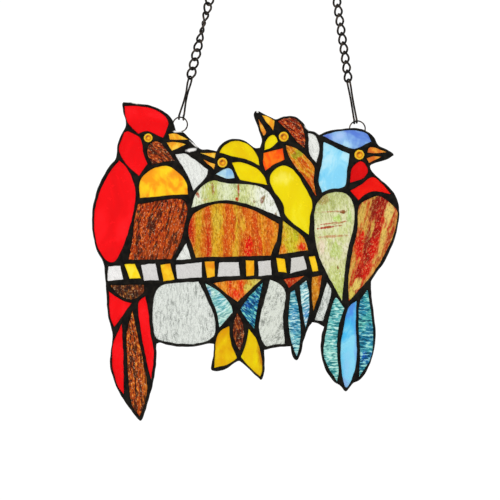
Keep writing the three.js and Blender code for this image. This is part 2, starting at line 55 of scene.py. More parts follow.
# Glass and solder
GLASS_HALF = 1.5
GLASS_UNDER_BEAD = 0.5
CORNER_TURN = math.radians(52)
OUTLINE_STEP = 0.9
MITRE_LIMIT = 3.0
SHARP_EDGE = math.radians(50)
GRID_ROW = 0.866
GRID_SHAKE = 0.12
GRID_SEED = 7
PANE_GRID_GAP = 0.5
BEAD_GRID_GAP = 0.45
BEAD_STEP = 0.85
BEAD_WINDOW_EDGE = 1.62
BEAD_WINDOW_RISE = 0.95
BEAD_WINDOW_REACH = 1.5
BEAD_RIM_EDGE = 0.9
BEAD_RIM_RISE = 1.7
BEAD_RIM_REACH = 1.7
BEAD_WAVER = 0.38
BEAD_WAVER_SCALE = 0.21
BEAD_WAVER_SEEDS = (1.7, 8.3)
BEAD_LUMP_SCALE, BEAD_LUMP = 0.16, 0.14
BEAD_RIPPLE_SCALE, BEAD_RIPPLE = 0.45, 0.08

# Hardware
WIRE_SIDES = 14
HALF_TURN = np.radians((0, 30, 60, 90, 120, 150, 180))
RING_WIRE = 1.15
RING_SIDES = 12
RING_STEPS = 48
RING_Y = 3.3
HOOK_WIRE = 1.6
HOOK_BEND = 1.45
HOOK_TOP_SPREAD = 1.7
HOOK_TOP_RISE = 1.9
HOOK_TIP = 2.2
HOOK_STEPS = 4
SHANK_SHARES = (0.1, 0.4, 0.65, 0.88)
HANG_Y = RING_Y - HOOK_BEND
LINK_WIRE = 1.75
LINK_PITCH = 7.6
LINK_LENGTH = LINK_PITCH + LINK_WIRE
LINK_WIDTH = 6.3
LINK_TWIST = math.radians(45)
LINK_SKEW = 0.2
LINK_COUNT = 9
LINK_STEPS = 40
LINK_SINK = 0.3
FIRST_LINK = LINK_LENGTH / 2 + HOOK_TOP_RISE - (LINK_WIRE + HOOK_WIRE) / 2 - LINK_SINK
END_RING_RADIUS = 5.3
END_RING_WIRE = 1.4
END_RING_STEPS = 56
END_RING_LIFT = 1.65
END_RING = FIRST_LINK + LINK_COUNT * LINK_PITCH - LINK_LENGTH / 2 + END_RING_RADIUS + END_RING_LIFT
# Per side: rim ring (x, z, radius, first and last angle), hook foot (x, spread, pinch of the shank),
# chain (x, z, slope), turn of the first links about the chain and further turn per link after the third
SIDES = {
    "left": ((-52.4, 109.5, 5.8, -80, 172), (-51.6, 1.8, 0.75), (-44.3, 146.0, 0.244), (0, 30)),
    "right": ((89.7, 106.0, 6.3, -14, 194), (88.2, 1.0, 0.2), (82.6, 143.6, -0.146), (28, 0)),
}

# The photograph's frame: 500 pixels wide at 0.8 mm each, its middle in panel millimetres
PHOTO_WIDTH = 400.0
PHOTO_MIDDLE = (3.6, 8.8)
LENS = 120.0
SENSOR = 36.0


def place(x, y, z):
    """A panel point in millimetres as a point of the model's frame in metres."""
    return ZERO + Vector((x, y, z)) * MM


# Outlines

def front_loops(name):
    """The closed outlines of a node's flat front, counterclockwise outside and clockwise for holes."""
    bm = bmesh.new()
    bm.from_mesh(nodes[name].data)
    bmesh.ops.remove_doubles(bm, verts=bm.verts, dist=2e-6)
    front_y = min(v.co.y for v in bm.verts) + 1e-5
    front = {f for f in bm.faces if all(v.co.y < front_y for v in f.verts)}
    follow = {}
    for face in front:
        for corner in face.loops:
            others = [f for f in corner.edge.link_faces if f is not face]
            if not others or others[0] not in front:
                follow[corner.vert.index] = corner.link_loop_next.vert.index
    bm.verts.ensure_lookup_table()
    flat = [(v.co - ZERO) / MM for v in bm.verts]
    bm.free()
    loops = []
    while follow:
        at = next(iter(follow))
        loop = []
        while at in follow:
            loop.append(np.array((flat[at].x, flat[at].z)))
            at = follow.pop(at)
        loops.append(loop)
    return loops


def spline_between(p0, p1, p2, p3, count):
    """Points of a centripetal spline from p1 up to but without p2."""
    t = [0.0]
    for a, b in ((p0, p1), (p1, p2), (p2, p3)):
        t.append(t[-1] + max(1e-4, np.linalg.norm(b - a)) ** 0.5)
    points = []
    for u in np.linspace(t[1], t[2], count, endpoint=False):
        a1 = ((t[1] - u) * p0 + (u - t[0]) * p1) / (t[1] - t[0])
        a2 = ((t[2] - u) * p1 + (u - t[1]) * p2) / (t[2] - t[1])
        a3 = ((t[3] - u) * p2 + (u - t[2]) * p3) / (t[3] - t[2])
        b1 = ((t[2] - u) * a1 + (u - t[0]) * a2) / (t[2] - t[0])
        b2 = ((t[3] - u) * a2 + (u - t[1]) * a3) / (t[3] - t[1])
        points.append(((t[2] - u) * b1 + (u - t[1]) * b2) / (t[2] - t[1]))
    return points


def smooth_loop(loop):
    """The faceted outline with its corners kept and its curves made round again."""
    count = len(loop)
    before = [loop[i] - loop[i - 1] for i in range(count)]
    turns = []
    for i in range(count):
        a, b = before[i], before[(i + 1) % count]
        turns.append(abs(math.atan2(a[0] * b[1] - a[1] * b[0], a @ b)))
    points = []
    for i in range(count):
        p1, p2 = loop[i], loop[(i + 1) % count]
        p0 = loop[i - 1] if turns[i] < CORNER_TURN else 2 * p1 - p2
        p3 = loop[(i + 2) % count] if turns[(i + 1) % count] < CORNER_TURN else 2 * p2 - p1
        steps = max(1, round(np.linalg.norm(p2 - p1) / OUTLINE_STEP))
        points += spline_between(p0, p1, p2, p3, steps)
    return np.array(points)


def area(loop):
    """Twice the area of an outline, positive if it runs counterclockwise."""
    after = np.roll(loop, -1, axis=0)
    return np.sum(loop[:, 0] * after[:, 1] - loop[:, 1] * after[:, 0])


def outset(points, distance):
    """A counterclockwise outline moved outwards."""
    before = points - np.roll(points, 1, axis=0)
    before /= np.linalg.norm(before, axis=1)[:, None]
    after = np.roll(before, -1, axis=0)
    out = np.stack((before[:, 1] + after[:, 1], -before[:, 0] - after[:, 0]), axis=1)
    size = np.maximum(np.linalg.norm(out, axis=1), 1e-6)
    out /= size[:, None]
    return points + out * (distance * np.minimum(2 / size, MITRE_LIMIT))[:, None]


def inside(points, loop):
    """Which of the points lie inside a closed outline."""
    result = np.zeros(len(points), bool)
    for a, b in zip(loop, np.roll(loop, -1, axis=0)):
        crosses = (a[1] > points[:, 1]) != (b[1] > points[:, 1])
        with np.errstate(divide="ignore", invalid="ignore"):
            x = (b[0] - a[0]) * (points[:, 1] - a[1]) / (b[1] - a[1]) + a[0]
        result ^= crosses & (points[:, 0] < x)
    return result


def nearest(points, loops):
    """Distance from each point to the nearest of the outlines' points."""
    edge = np.concatenate(loops)
    tree = kdtree.KDTree(len(edge))
    for i, (x, z) in enumerate(edge):
        tree.insert((x, z, 0), i)
    tree.balance()
    return np.array([tree.find((x, z, 0))[2] for x, z in points])


def fill_points(low, high, step):
    """A grid of staggered rows, slightly shaken so that no rows show."""
    rows = []
    for j, z in enumerate(np.arange(low[1], high[1], step * GRID_ROW)):
        x = np.arange(low[0] + (j % 2) * step / 2, high[0], step)
        rows.append(np.stack((x, np.full(len(x), z)), axis=1))
    points = np.concatenate(rows)
    rng = np.random.default_rng(GRID_SEED)
    return points + rng.uniform(-GRID_SHAKE, GRID_SHAKE, points.shape) * step


# Meshes

def new_object(name, verts, faces, material):
    """A mesh object, shaded smooth apart from its sharp edges."""
    mesh = bpy.data.meshes.new(name)
    mesh.from_pydata([tuple(v) for v in verts], [], faces)
    bm = bmesh.new()
    bm.from_mesh(mesh)
    bmesh.ops.recalc_face_normals(bm, faces=bm.faces)
    for face in bm.faces:
        face.smooth = True
    for edge in bm.edges:
        edge.smooth = len(edge.link_faces) == 2 and edge.calc_face_angle(0) < SHARP_EDGE
    bm.to_mesh(mesh)
    bm.free()
    mesh.materials.append(material)
    piece = bpy.data.objects.new(name, mesh)
    bpy.context.scene.collection.objects.link(piece)
    return piece


def finish_piece(piece, node):
    """The piece rides on the part and stands for a node, which is hidden."""
    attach(piece, "root")
    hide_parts(node)


def slab(name, loops, inner, front, back, material):
    """A closed body between two surfaces y = -front(point) and y = back(point) over one flat region."""
    points = np.concatenate([*loops, inner]) if len(inner) else np.concatenate(loops)
    rings, start = [], 0
    for loop in loops:
        ring = range(start, start + len(loop))
        rings.append(list(ring if area(loop) > 0 else reversed(ring)))
        start += len(loop)
    flat, _, faces, _, _, of_ring = delaunay_2d_cdt([Vector(p) for p in points], [], rings, 1, 1e-5)
    faces = [f for f, sources in zip(faces, of_ring) if set(sources) == {0}]
    xz = np.array([(p.x, p.y) for p in flat])
    near, far = front(xz), back(xz)
    count = len(xz)
    verts = [place(x, -y, z) for (x, z), y in zip(xz, near)]
    verts += [place(x, y, z) for (x, z), y in zip(xz, far)]
    solid = [tuple(f) for f in faces] + [tuple(count + i for i in reversed(f)) for f in faces]
    edges = {}
    for f in faces:
        for a, b in zip(f, [*f[1:], f[0]]):
            edges[a, b] = True
    for a, b in edges:
        if (b, a) not in edges:
            solid.append((b, a, count + a, count + b))
    return new_object(name, verts, solid, material)


def tube(points, wire, sides, closed=False):
    """Vertices and faces of a round wire along points, its section carried along without twist."""
    path = [Vector(p) for p in points]
    count = len(path)
    verts, faces = [], []
    side = None
    for i, p in enumerate(path):
        a = path[i - 1] if closed or i else p
        b = path[(i + 1) % count] if closed or i < count - 1 else p
        along = (b - a).normalized()
        if side is None:
            side = along.orthogonal().normalized()
        side = (side - along * side.dot(along)).normalized()
        up = along.cross(side)
        for k in range(sides):
            angle = 2 * math.pi * k / sides
            verts.append(p + (side * math.cos(angle) + up * math.sin(angle)) * (wire / 2))
    shift = 0
    if closed:
        first = verts[0] - path[0]
        gaps = [(verts[(count - 1) * sides + k] - path[-1] - first).length for k in range(sides)]
        shift = gaps.index(min(gaps))
    for i in range(count if closed else count - 1):
        j = (i + 1) % count
        turn = shift if closed and j == 0 else 0
        for k in range(sides):
            a, b = i * sides + (k + turn) % sides, i * sides + (k + 1 + turn) % sides
            faces.append((a, b, j * sides + (k + 1) % sides, j * sides + k))
    if not closed:
        faces.append(tuple(reversed(range(sides))))
        faces.append(tuple((count - 1) * sides + k for k in range(sides)))
    return verts, faces


def wire_object(name, tubes, material):
    """One object of several round wires."""
    verts, faces = [], []
    for tube_verts, tube_faces in tubes:
        faces += [tuple(len(verts) + i for i in f) for f in tube_faces]
        verts += tube_verts
    return new_object(name, [place(*v) for v in verts], faces, material)


# Shaders

BUMP_DEPTH = 0.0003


def linear(code):
    """A colour written as #rrggbb, as linear values."""
    values = [int(code[i:i + 2], 16) / 255 for i in (1, 3, 5)]
    return [v / 12.92 if v <= 0.04045 else ((v + 0.055) / 1.055) ** 2.4 for v in values] + [1.0]


class Paint:
    """A material under construction. Positions are panel millimetres."""

    def __init__(self, name):
        self.material = bpy.data.materials.new(name)
        self.material.use_nodes = True
        self.tree = self.material.node_tree
        self.shader = self.tree.nodes["Principled BSDF"]
        coordinates = self.tree.nodes.new("ShaderNodeTexCoord")
        mapping = self.tree.nodes.new("ShaderNodeMapping")
        mapping.inputs["Scale"].default_value = (1 / MM,) * 3
        mapping.inputs["Location"].default_value = tuple(-c / MM for c in ZERO)
        self.link(coordinates.outputs["Object"], mapping.inputs["Vector"])
        self.here = mapping.outputs["Vector"]

    def link(self, source, target):
        self.tree.links.new(source, target)

    def put(self, socket, value):
        if isinstance(value, bpy.types.NodeSocket):
            self.link(value, socket)
        else:
            socket.default_value = value

    def node(self, kind, inputs, output=0, **settings):
        made = self.tree.nodes.new(kind)
        for key, value in settings.items():
            setattr(made, key, value)
        for key, value in inputs.items():
            self.put(made.inputs[key], value)
        return made.outputs[output]

    def math(self, operation, a, b=0.0):
        return self.node("ShaderNodeMath", {0: a, 1: b}, operation=operation)

    def stretched(self, x=1.0, z=1.0, turn=0.0, origin=(0.0, 0.0)):
        """Coordinates about an origin, turned by an angle in degrees and then scaled."""
        moved = self.node("ShaderNodeVectorMath", {0: self.here, 1: (origin[0], 0, origin[1])},
                          operation="SUBTRACT")
        turned = self.node("ShaderNodeVectorRotate", {"Vector": moved, "Angle": math.radians(turn)},
                           rotation_type="Y_AXIS")
        return self.node("ShaderNodeVectorMath", {0: turned, 1: (x, 1, z)}, operation="MULTIPLY")

    def noise(self, scale, detail=2.0, where=None, distortion=0.0, roughness=0.5):
        return self.node("ShaderNodeTexNoise", {
            "Vector": where or self.here, "Scale": scale, "Detail": detail,
            "Roughness": roughness, "Distortion": distortion})

    def levels(self, value, low, high, to_low=0.0, to_high=1.0):
        return self.node("ShaderNodeMapRange", {
            0: value, 1: low, 2: high, 3: to_low, 4: to_high}, interpolation_type="SMOOTHSTEP")

    def mix(self, share, a, b):
        made = self.tree.nodes.new("ShaderNodeMix")
        made.data_type = "RGBA"
        sockets = {s.identifier: s for s in made.inputs}
        self.put(sockets["Factor_Float"], share)
        self.put(sockets["A_Color"], linear(a) if isinstance(a, str) else a)
        self.put(sockets["B_Color"], linear(b) if isinstance(b, str) else b)
        return next(s for s in made.outputs if s.identifier == "Result_Color")

    def ramp(self, value, stops):
        """Colours along a value from 0 to 1."""
        made = self.tree.nodes.new("ShaderNodeValToRGB")
        elements = made.color_ramp.elements
        while len(elements) < len(stops):
            elements.new(0.5)
        for element, (position, code) in zip(elements, stops):
            element.position = position
            element.color = linear(code)
        self.link(value, made.inputs[0])
        return made.outputs[0]

    def spot(self, x, z, width, height, turn=0.0, soft=0.6, ragged=0.35):
        """A soft patch with a ragged edge, 1 in its middle."""
        where = self.stretched(2 / width, 2 / height, turn, (x, z))
        flat = self.node("ShaderNodeVectorMath", {0: where, 1: (1, 0, 1)}, operation="MULTIPLY")
        reach = self.node("ShaderNodeVectorMath", {0: flat}, "Value", operation="LENGTH")
        rough = self.noise(0.45, 3, self.stretched(1, 0.35, turn))
        shake = self.math("MULTIPLY", self.math("SUBTRACT", rough, 0.5), ragged * 4)
        return self.levels(self.math("ADD", reach, shake), 1 + soft / 2, 1 - soft)

    def streaks(self, axis_x, axis_z, low, high, stops, wander, turn):
        """Colours in bands across an axis, their edges drawn out along the turned z direction."""
        across = self.node("ShaderNodeVectorMath", {0: self.here, 1: (axis_x, 0, axis_z)}, "Value",
                           operation="DOT_PRODUCT")
        broad = self.math("SUBTRACT", self.noise(0.07, 3), 0.5)
        thin = self.math("SUBTRACT", self.noise(0.5, 4, self.stretched(1, 0.13, turn), 0.4, 0.65), 0.5)
        value = self.math("ADD", across, self.math("MULTIPLY", broad, 2 * wander))
        value = self.math("ADD", value, self.math("MULTIPLY", thin, 4 * wander))
        share = self.node("ShaderNodeMapRange", {0: value, 1: low, 2: high})
        return self.ramp(share, stops)

    def bump(self, height, strength):
        self.link(self.node("ShaderNodeBump", {
            "Height": height, "Strength": strength, "Distance": BUMP_DEPTH}), self.shader.inputs["Normal"])

    def cloud(self, scale, detail=3.0, stretch=1.0, turn=0.0, distortion=0.4, seed=0.0):
        """Soft random values spread over 0 to 1, drawn out along the turned z direction."""
        where = self.stretched(1.0, 1 / stretch, turn, (seed, seed))
        return self.levels(self.noise(scale, detail, where, distortion, 0.55), 0.36, 0.64)

    def patched(self, color, patches, soft=0.8):
        """The colour with soft patches laid over it."""
        for x, z, width, height, turn, code, strength in patches:
            share = self.math("MULTIPLY", self.spot(x, z, width, height, turn, soft, 0.5), strength)
            color = self.mix(share, color, code)
        return color

    def done(self, color, roughness, transmission=0.0, specular=0.3, metallic=0.0):
        self.put(self.shader.inputs["Base Color"], linear(color) if isinstance(color, str) else color)
        self.put(self.shader.inputs["Roughness"], roughness)
        self.shader.inputs["Metallic"].default_value = metallic
        self.shader.inputs["Transmission Weight"].default_value = transmission
        self.shader.inputs["Specular IOR Level"].default_value = specular
        return self.material


# Glass kinds. Marks run along z, in water glass along x, before they are turned counterclockwise in degrees.

OPAL_TRANSMISSION = 0.1
ROLLED_TRANSMISSION = 0.1
CLEAR_TRANSMISSION = 0.9
OPAL_SPECULAR = 0.03
ROLLED_SPECULAR = 0.05
SPARKLE = "#f6d0a0"
SEED_WHITE = "#ffffff"


def opal(name, stops, scale=0.05, turn=0.0, patches=()):
    """Opalescent sheet: near colours in soft clouds."""
    p = Paint(name)
    color = p.ramp(p.cloud(scale, 3, 1.5, turn, 0.8), stops)
    color = p.patched(color, patches)
    p.bump(p.noise(0.35), 0.12)
    return p.done(color, p.levels(p.noise(0.2), 0.3, 0.7, 0.16, 0.28), OPAL_TRANSMISSION, OPAL_SPECULAR)


def granular(name, turn, deep, body, glow, patches=()):
    """Brown granite-textured sheet with dark strokes along its roll and sparkling grains."""
    p = Paint(name)
    grain = p.cloud(0.75, 4, 2.4, turn)
    color = p.ramp(grain, [(0.0, deep), (0.32, body), (0.75, body), (1.0, glow)])
    color = p.patched(color, patches)
    strokes = p.levels(p.cloud(0.42, 3, 5.0, turn, 0.5, 31), 0.42, 0.12)
    color = p.mix(p.math("MULTIPLY", strokes, 0.85), color, deep)
    sparks = p.levels(p.noise(1.6, 1, p.stretched(1, 0.5, turn)), 0.64, 0.74)
    color = p.mix(p.math("MULTIPLY", sparks, 0.6), color, SPARKLE)
    p.bump(grain, 0.45)
    return p.done(color, 0.28, ROLLED_TRANSMISSION, ROLLED_SPECULAR)


def streaky(name, bands, turn=0.0, patches=(), shade="#7a2c04", shine="#f6dc80", amount=0.6):
    """Granular sheet with colours drawn out in streaks: bands give an axis, its range and the colours."""
    p = Paint(name)
    color = p.patched(p.streaks(*bands, turn), patches, 0.4)
    grain = p.cloud(0.9, 4, 2.6, turn)
    sparks = p.noise(1.8, 1, p.stretched(1, 0.45, turn))
    color = p.mix(p.math("MULTIPLY", p.levels(grain, 0.34, 0.04), amount * 0.85), color, shade)
    color = p.mix(p.math("MULTIPLY", p.levels(grain, 0.8, 1.0), amount * 0.4), color, shine)
    color = p.mix(p.math("MULTIPLY", p.levels(sparks, 0.63, 0.73), amount), color, shine)
    p.bump(grain, 0.4)
    return p.done(color, 0.26, ROLLED_TRANSMISSION, ROLLED_SPECULAR)


def rippled(name, stops, turn, patches, shade, shine, across=0.7, depth=0.95):
    """Water glass: soft areas of colour under a fine ripple that runs along x."""
    p = Paint(name)
    color = p.ramp(p.cloud(0.06, 2), stops)
    color = p.patched(color, patches)
    wave = p.noise(across, 3, p.stretched(0.24, 1.0, turn), 0.8, 0.55)
    color = p.mix(p.math("MULTIPLY", p.levels(wave, 0.49, 0.42), depth), color, shade)
    color = p.mix(p.math("MULTIPLY", p.levels(wave, 0.54, 0.59), depth * 0.9), color, shine)
    p.bump(wave, 0.5)
    return p.done(color, 0.18, ROLLED_TRANSMISSION, ROLLED_SPECULAR)


def clear_sheet(name, body, speck, amount, turn=0.0, patches=()):
    """Clear rolled sheet, see-through, with grey dashes and bright seeds."""
    p = Paint(name)
    dashes = p.cloud(0.95, 3, 4.5, turn, 0.8)
    dense = p.levels(p.noise(0.06, 1), 0.4, 0.6, amount * 0.55, amount)
    color = p.patched(linear(body), patches)
    color = p.mix(p.math("MULTIPLY", p.levels(dashes, 0.36, 0.05), dense), color, speck)
    color = p.mix(p.math("MULTIPLY", p.levels(p.noise(1.3, 1), 0.57, 0.66), amount), color, SEED_WHITE)
    p.bump(dashes, 0.5)
    return p.done(color, 0.16, CLEAR_TRANSMISSION, ROLLED_SPECULAR)


def jewel_amber(name, x, z, radius):
    """Pressed jewel: bright yellow border as a painted highlight ring, a darker ring, a painted shadow up
    and to the left, and a light heart.
    """
    p = Paint(name)
    ring = p.spot(x, z, radius * 1.45, radius * 1.45, 0, 0.25, 0.05)
    # Painted shadow: a darker spot up and to the left on the jewel's face.
    shadow = p.spot(x - radius * 0.2, z + radius * 0.25, radius * 0.8, radius * 0.5, 30)
    heart = p.spot(x + radius * 0.1, z - radius * 0.1, radius * 0.7, radius * 0.7)
    # Painted highlight ring: the bright yellow border outside the darker ring.
    color = p.mix(ring, "#f8c828", "#d47c02")
    color = p.mix(shadow, color, "#8a4a04")
    color = p.mix(heart, color, "#f7b41c")
    return p.done(color, 0.06, 0.15, 0.06)


# Painted highlights: pale glint spots on the solder, as (x, z, width, height, turn)
PAINTED_GLINTS = [
    (-87, 126.4, 10, 2.2, -6), (28, 115.2, 6, 1.6, 20), (49, 106.3, 6, 2, -50), (9.5, 119.4, 2, 2, 0),
    (-43, 88.8, 9, 2.8, 12), (-54, 103.4, 8, 1.6, 0), (-41, 93, 9, 1.2, -42), (-60, 116, 13, 1.0, -52)]


def solder_black():
    """Black patina, with painted highlights: pale glint spots at a few places of the rim."""
    p = Paint("solder_black")
    color = p.mix(p.cloud(0.25, 4), "#060504", "#181510")
    for painted_highlight in PAINTED_GLINTS:
        # Painted highlights: each listed spot lays a pale glint colour over the solder.
        color = p.mix(p.spot(*painted_highlight), color, "#e2e0dc")
    p.bump(p.noise(0.9, 4), 0.2)
    return p.done(color, p.levels(p.noise(0.5, 3), 0.3, 0.7, 0.34, 0.55), 0.0, 0.07)


def antique_wire(name, dark, painted_highlight):
    """Darkened steel wire with painted highlights: brighter patches at random places."""
    p = Paint(name)
    color = p.mix(p.levels(p.noise(0.3, 3), 0.44, 0.66), dark, painted_highlight)
    p.bump(p.noise(2.0, 3), 0.15)
    return p.done(color, p.levels(p.noise(1.2), 0.3, 0.7, 0.25, 0.42), 0.0, 0.12, metallic=0.15)


# Relief of the rolled glass, in millimetres

# Each kind of sheet: scale of its noise, stretch (under 1 along z, over 1 along x), depth, grid step
RELIEF = {
    "smooth": (0.05, 1.0, 0.06, 2.6),
    "granular": (0.32, 0.4, 0.16, 1.1),
    "hammered": (0.42, 0.6, 0.2, 1.1),
    "ripple": (0.34, 2.6, 0.24, 1.1),
}


def relief_of(kind, turn):
    """How far a kind of sheet rises over or sinks under its flat face, different on each side."""
    scale, stretch, depth, _ = RELIEF[kind]
    c, s = math.cos(math.radians(turn)), math.sin(math.radians(turn))

    def height(x, z, side):
        u, v = x * c + z * s, z * c - x * s
        value = noise.noise(Vector((u * scale / max(stretch, 1), v * scale * min(stretch, 1), side * 9.7)))
        if kind in ("granular", "hammered"):
            value += 0.5 * noise.noise(Vector((u * scale * 2.3, v * scale * 1.6, side * 4.1)))
        return depth * value
    return height


def pane(name, loop, kind, turn, material, slot, node):
    """One cut pane, its edge tucked under the solder and its faces in relief."""
    outline = smooth_loop(loop)
    edge = outset(outline, GLASS_UNDER_BEAD)
    step = RELIEF[kind][-1]
    grid = fill_points(outline.min(0), outline.max(0), step)
    grid = grid[inside(grid, outline)]
    grid = grid[nearest(grid, [outline]) > step * PANE_GRID_GAP] if len(grid) else grid
    height = relief_of(kind, turn)
    rim = {(round(x, 4), round(z, 4)) for x, z in edge}

    def surface(side):
        def at(xz):
            return [GLASS_HALF + (0 if (round(x, 4), round(z, 4)) in rim else height(x, z, side))
                    for x, z in xz]
        return at
    piece = slab(name, [edge], grid, surface(1), surface(2), material)
    finish_piece(piece, node)


# Colours: clouds as (share, colour), streaks as (share across, colour),
# patches as (x, z, width, height, turn, colour, strength)
RED = opal("red_opal", [(0.0, "#e8040c"), (0.5, "#f2060f"), (1.0, "#fa141c")], 0.03)
RED_DEEP = opal("red_deep", [(0.0, "#d20305"), (1.0, "#e20809")], 0.06)
RED_WARM = opal("red_warm", [(0.0, "#e40a04"), (1.0, "#f41a08")], 0.06)
YELLOW = opal("yellow_opal", [(0.0, "#e6c200"), (0.5, "#ead000"), (1.0, "#eeda06")], 0.045)
LEMON = opal("yellow_lemon", [(0.0, "#e8d004"), (0.5, "#ecd806"), (1.0, "#f0e024")], 0.04, 0,
             [(30, 66, 14, 10, 0, "#f3e552", 0.8)])
FLAME = opal("flame_opal", [(0.0, "#f43c0c"), (0.6, "#fb560a"), (1.0, "#fd7810")], 0.1, 0,
             [(23, 79, 8, 5, 10, "#fd7a14", 0.7)])
COLLAR = opal("collar_amber", [(0.0, "#f59a14"), (0.35, "#fdb918"), (1.0, "#ffd21e")], 0.1, 20,
              [(-55, 71, 22, 8, 35, "#f08c1c", 0.8), (-82, 50, 8, 12, 0, "#f29a1e", 0.6),
               (-74, 72, 12, 5, -30, "#f49a1a", 0.6)])
GOLD_LEFT = opal("gold_left", [(0.0, "#dc9c00"), (0.5, "#e2b000"), (1.0, "#e8c404")], 0.06, 0,
                 [(-25, -60, 8, 36, -8, "#d98f10", 0.8)])
GOLD_RIGHT = opal("gold_right", [(0.0, "#e4be02"), (0.5, "#e8cc02"), (1.0, "#ecd806")], 0.06, 0,
                  [(12.8, -76, 5, 42, 4, "#bc6c0c", 0.9), (8, -92, 10, 6, 30, "#dca012", 0.7)])
BEAK_ORANGE = opal("beak_orange", [(0.0, "#e0802a"), (0.5, "#ee9c30"), (1.0, "#f8b83c")], 0.16)
BEAK_GOLD = opal("beak_gold", [(0.0, "#ee9c22"), (0.5, "#f8b82a"), (1.0, "#fdce4a")], 0.16)
BEAK_TAN = opal("beak_tan", [(0.0, "#d86a24"), (0.5, "#e4842c"), (1.0, "#ee9e36")], 0.16)
TILE_AMBER = [opal(f"tile_amber_{i}", [(0.0, low), (1.0, high)], 0.2, 0, [(x, -3, 16, 8, 0, top, 0.9)])
              for i, (low, high, x, top) in enumerate((
                  ("#fdd810", "#ffe63c", -85, "#fbd016"), ("#f4b814", "#fbd02a", -57, "#ee9a18"),
                  ("#f2a812", "#fac028", -24, "#e8840f"), ("#f0a00c", "#f8b81c", 14, "#e8840a"),
                  ("#f8c00e", "#fccc16", 41, "#f2aa10"), ("#f7c012", "#fcd024", 69, "#f4b012")))]
CLEAR = clear_sheet("clear_rolled", "#dce1d9", "#565e56", 0.85)
CLEAR_SLANT = clear_sheet("clear_slanted", "#d8ddd1", "#4c5248", 0.85, -25)
CLEAR_PALE = clear_sheet("clear_pale", "#eaece6", "#8e928a", 0.5, 20)
TILE_CLEAR = clear_sheet("clear_tile", "#d6d4d1", "#aaa7a4", 0.3, 30, [
    (-105, -8, 40, 40, 0, "#f4f2f0", 1.0), (-70, -8, 40, 40, 0, "#dedcda", 0.8),
    (50, -6, 90, 40, 0, "#d0cdc4", 0.8)])
BELLY = granular("belly_granular", -14, "#240a04", "#ac3602", "#e0701e",
                 [(-57, 18, 14, 46, 0, "#bc4c0e", 0.7), (-72, 6, 30, 14, 0, "#a84410", 0.5)])
THROAT = granular("throat_granular", 50, "#220a04", "#9a3408", "#d8702a")
VENT = granular("vent_granular", 10, "#22100a", "#55260f", "#a8621e",
                [(-83, -22, 12, 7, 0, "#8a3a14", 0.7)])
PLUME = granular("plume_granular", 6, "#2a0c04", "#ac4208", "#f09030",
                 [(-75, -100, 14, 50, 0, "#c27222", 0.8), (-80, -66, 8, 40, 0, "#7c3412", 0.6)])
PLUME_DARK = granular("plume_dark", 0, "#260c06", "#702606", "#bc6428")
CROWN = granular("crown_granular", 55, "#3a0c04", "#a02a04", "#dc7430")
THROAT_SKY = opal("throat_sky", [(0.0, "#a2cce2"), (1.0, "#bce0ea")], 0.12, 0,
                  [(-12, 71, 10, 8, 0, "#82b6e2", 0.9), (-22, 66, 11, 7, 0, "#d4eee6", 0.9)])
NAPE_SKY = opal("nape_sky", [(0.0, "#84d2f2"), (0.5, "#98dcf4"), (1.0, "#b4e6f6")], 0.08, -20,
                [(56, 66, 14, 7, 20, "#5ec4ee", 0.6), (57, 84, 10, 8, 0, "#a9d8f6", 0.6)])
CROWN_VIOLET = opal("crown_violet", [(0.0, "#5b7fd6"), (0.6, "#7aa4e2"), (1.0, "#90bcea")], 0.07, 40,
                    [(63, 98, 12, 8, 20, "#5a6ed2", 0.8), (75, 100, 14, 6, 20, "#a9c6f2", 0.8),
                     (80, 92, 8, 8, 0, "#b0dcf4", 0.9), (93, 95, 9, 9, 0, "#5f86d8", 0.7)])
TAIL_SKY = opal("tail_sky", [(0.0, "#3aaee8"), (0.5, "#5cc2ec"), (1.0, "#86d6f0")], 0.05, -35,
                [(84, -38, 10, 22, -10, "#4a88e0", 0.9), (78, -60, 10, 14, -30, "#2cb4ee", 0.8),
                 (89, -64, 4, 60, 0, "#6c9ce6", 0.6), (81, -86, 7, 24, 0, "#94cef0", 0.7),
                 (79, -98, 8, 10, 0, "#86aee6", 0.8)])
BIB = streaky("bib_moss", (1, 0.05, -46, 26, [
    (0.0, "#dce2c0"), (0.12, "#e6ead2"), (0.25, "#c2c870"), (0.36, "#bcc260"), (0.48, "#dbe2ba"),
    (0.6, "#c2cc7e"), (0.72, "#dade9e"), (0.84, "#e6e9d8"), (1.0, "#eceee6")], 4.0), 4, [
        (-38, 53, 3, 5, 20, "#a8501c", 1.0), (-26, 58, 2.6, 10, 8, "#a07028", 0.9),
        (-5.7, 57, 1.6, 14, 0, "#a84818", 1.0), (-6.8, 49.5, 2.6, 3, 0, "#c02006", 1.0),
        (13.8, 49, 3.6, 7, -20, "#80401a", 0.9), (7, 47.5, 2, 3, 20, "#8e6024", 0.9),
        (24, 37, 2, 4, 0, "#80582a", 0.8), (-32, 49, 6, 3, 20, "#c8b060", 0.7)],
    "#7c8440", "#fbfbf4", 0.6)
